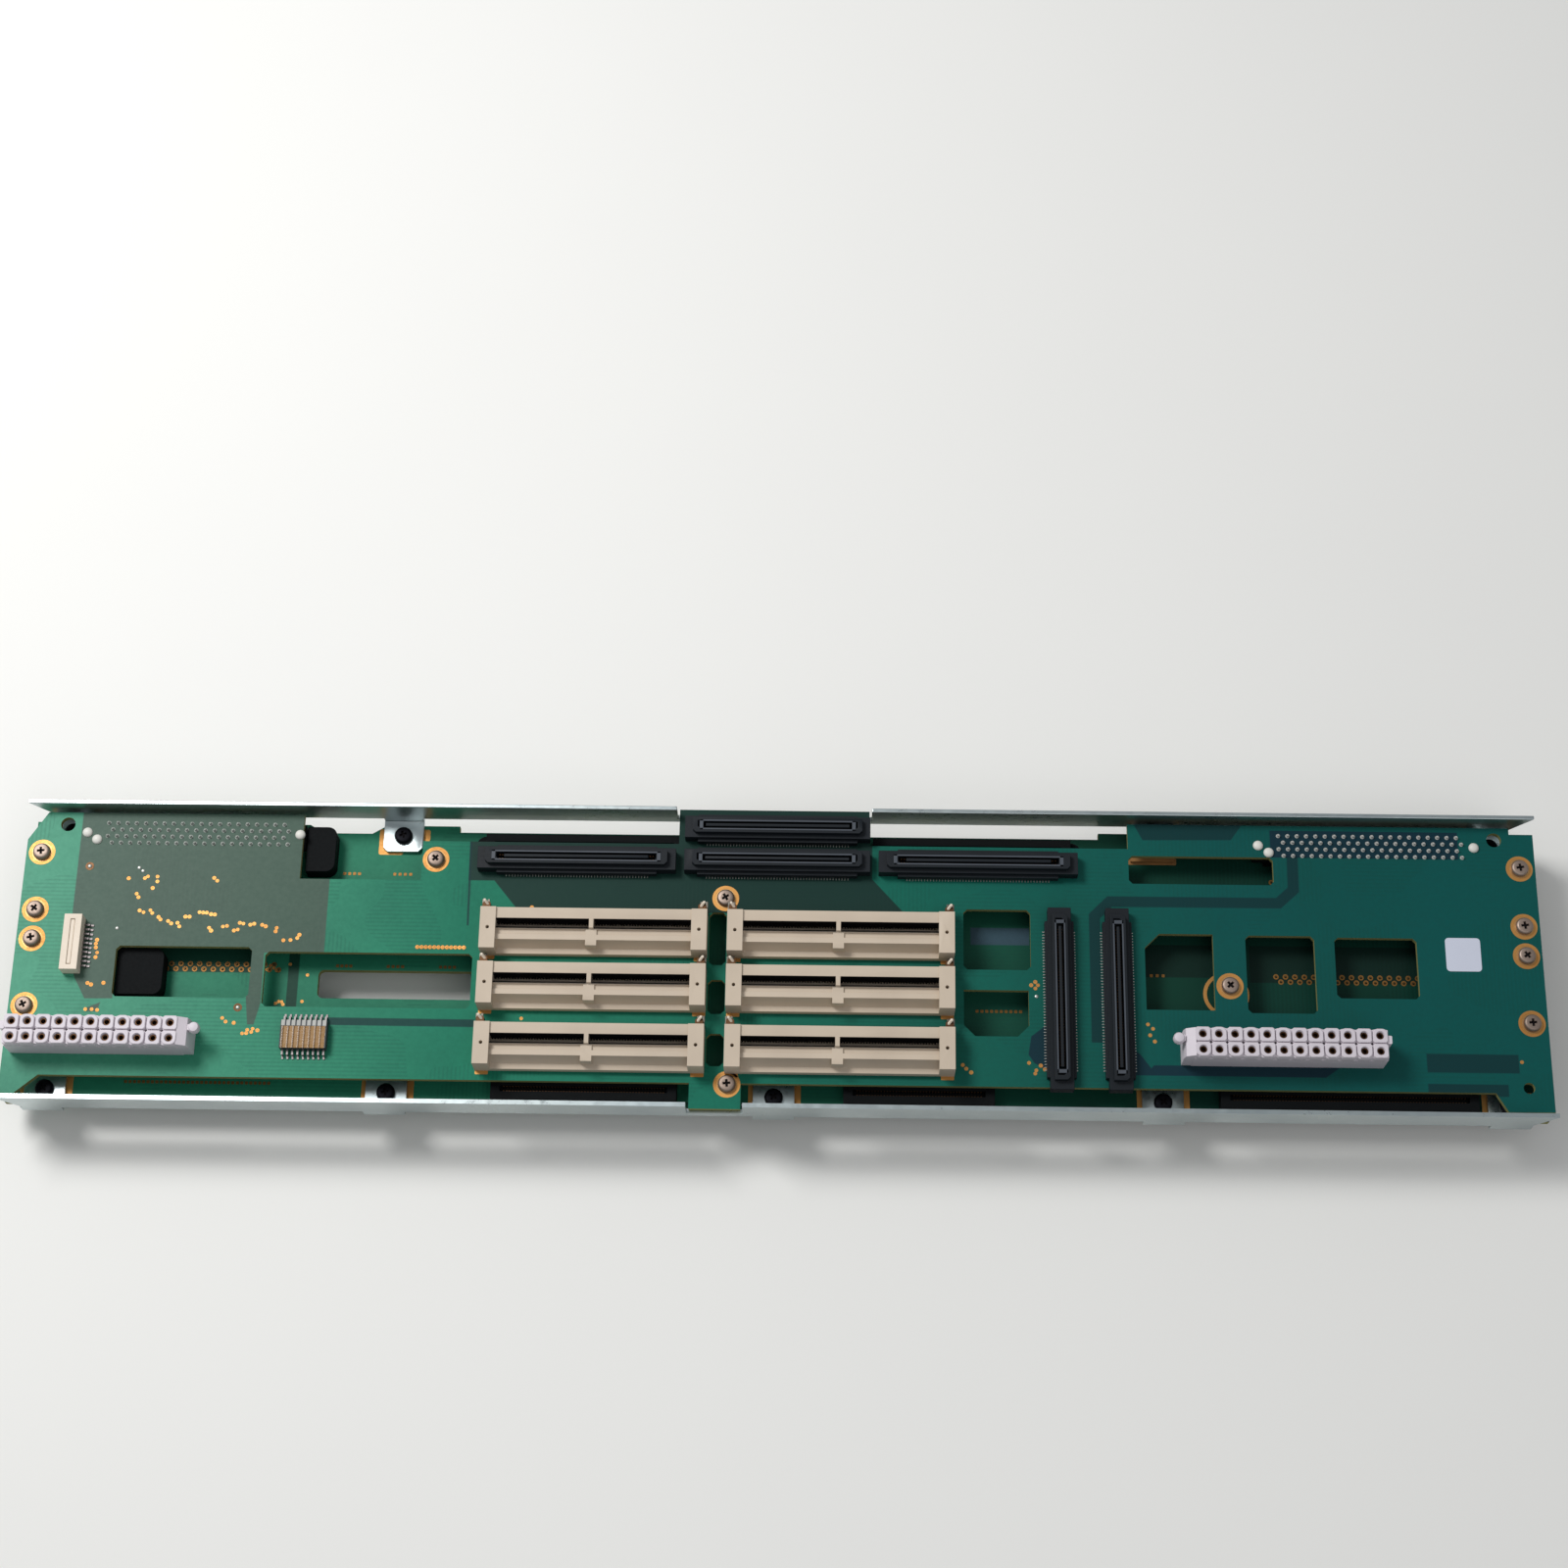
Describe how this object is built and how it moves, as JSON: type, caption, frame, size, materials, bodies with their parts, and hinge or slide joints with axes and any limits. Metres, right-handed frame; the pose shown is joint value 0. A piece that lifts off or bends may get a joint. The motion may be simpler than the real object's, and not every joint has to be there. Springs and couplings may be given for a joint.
{
  "type": "server drive backplane",
  "caption": "Server drive backplane: two stacked green circuit boards between folded steel rails, with beige card sockets, white power connectors and black cable connectors",
  "frame": {"origin": "under the middle of the assembly, on the plane of the drive connectors' mouths", "axes": "+X along the boards toward the end with the three square windows, +Y across them toward the edge with the bridge, +Z from the drive side up to the cable side"},
  "size_m": [0.4104, 0.0849, 0.0282],
  "materials": {
    "rear_mask": "satin solder mask, blue green",
    "drive_mask": "satin solder mask, green",
    "zinc_rail": "bright zinc plate",
    "screw_steel": "nickel plate, worn drive recess",
    "dark_screw": "black oxide",
    "spacer_steel": "plain turned",
    "beige_housing": "moulded, matt",
    "clip_steel": "sprung, bright",
    "white_housing": "moulded, matt",
    "gold_contact": "gold flashed",
    "black_housing": "moulded, matt",
    "black_link": "moulded, matt",
    "black_drive": "moulded, matt",
    "tinned_tail": "tinned",
    "cream_housing": "moulded, matt",
    "dark_switch": "moulded, matt",
    "amber_tape": "clear amber film"
  },
  "bodies": {
    "root": {"board_screws": "screw_steel", "bottom_rail": "zinc_rail", "cable_connector_1": "black_housing", "cable_connector_2": "black_housing", "cable_connector_3": "black_housing", "cable_connector_4": "black_housing", "cable_connector_5": "black_housing", "cable_connector_6": "black_housing", "card_socket_1": "beige_housing", "card_socket_2": "beige_housing", "card_socket_3": "beige_housing", "card_socket_4": "beige_housing", "card_socket_5": "beige_housing", "card_socket_6": "beige_housing", "drive_board": "drive_mask", "drive_connector_1": "black_drive", "drive_connector_10": "black_drive", "drive_connector_11": "black_drive", "drive_connector_12": "black_drive", "drive_connector_2": "black_drive", "drive_connector_3": "black_drive", "drive_connector_4": "black_drive", "drive_connector_5": "black_drive", "drive_connector_6": "black_drive", "drive_connector_7": "black_drive", "drive_connector_8": "black_drive", "drive_connector_9": "black_drive", "flex_connector": "cream_housing", "flex_leads": "tinned_tail", "guide_block_middle": "black_housing", "guide_block_top": "black_housing", "link_plug_left": "black_link", "link_plug_right": "black_link", "link_socket_left": "black_link", "link_socket_right": "black_link", "link_tails_left": "tinned_tail", "link_tails_right": "tinned_tail", "low_connector_1": "black_housing", "low_connector_2": "black_housing", "low_connector_3": "black_housing", "low_connector_4": "black_housing", "low_connector_5": "black_housing", "power_connector_left": "white_housing", "power_connector_right": "white_housing", "power_contacts_left": "gold_contact", "power_contacts_right": "gold_contact", "rail_screws": "dark_screw", "rear_board": "rear_mask", "socket_clips": "clip_steel", "standoffs": "spacer_steel", "switch_block": "dark_switch", "switch_leads": "tinned_tail", "switch_tape": "amber_tape", "top_rail": "zinc_rail"}
  },
  "joints": []
}
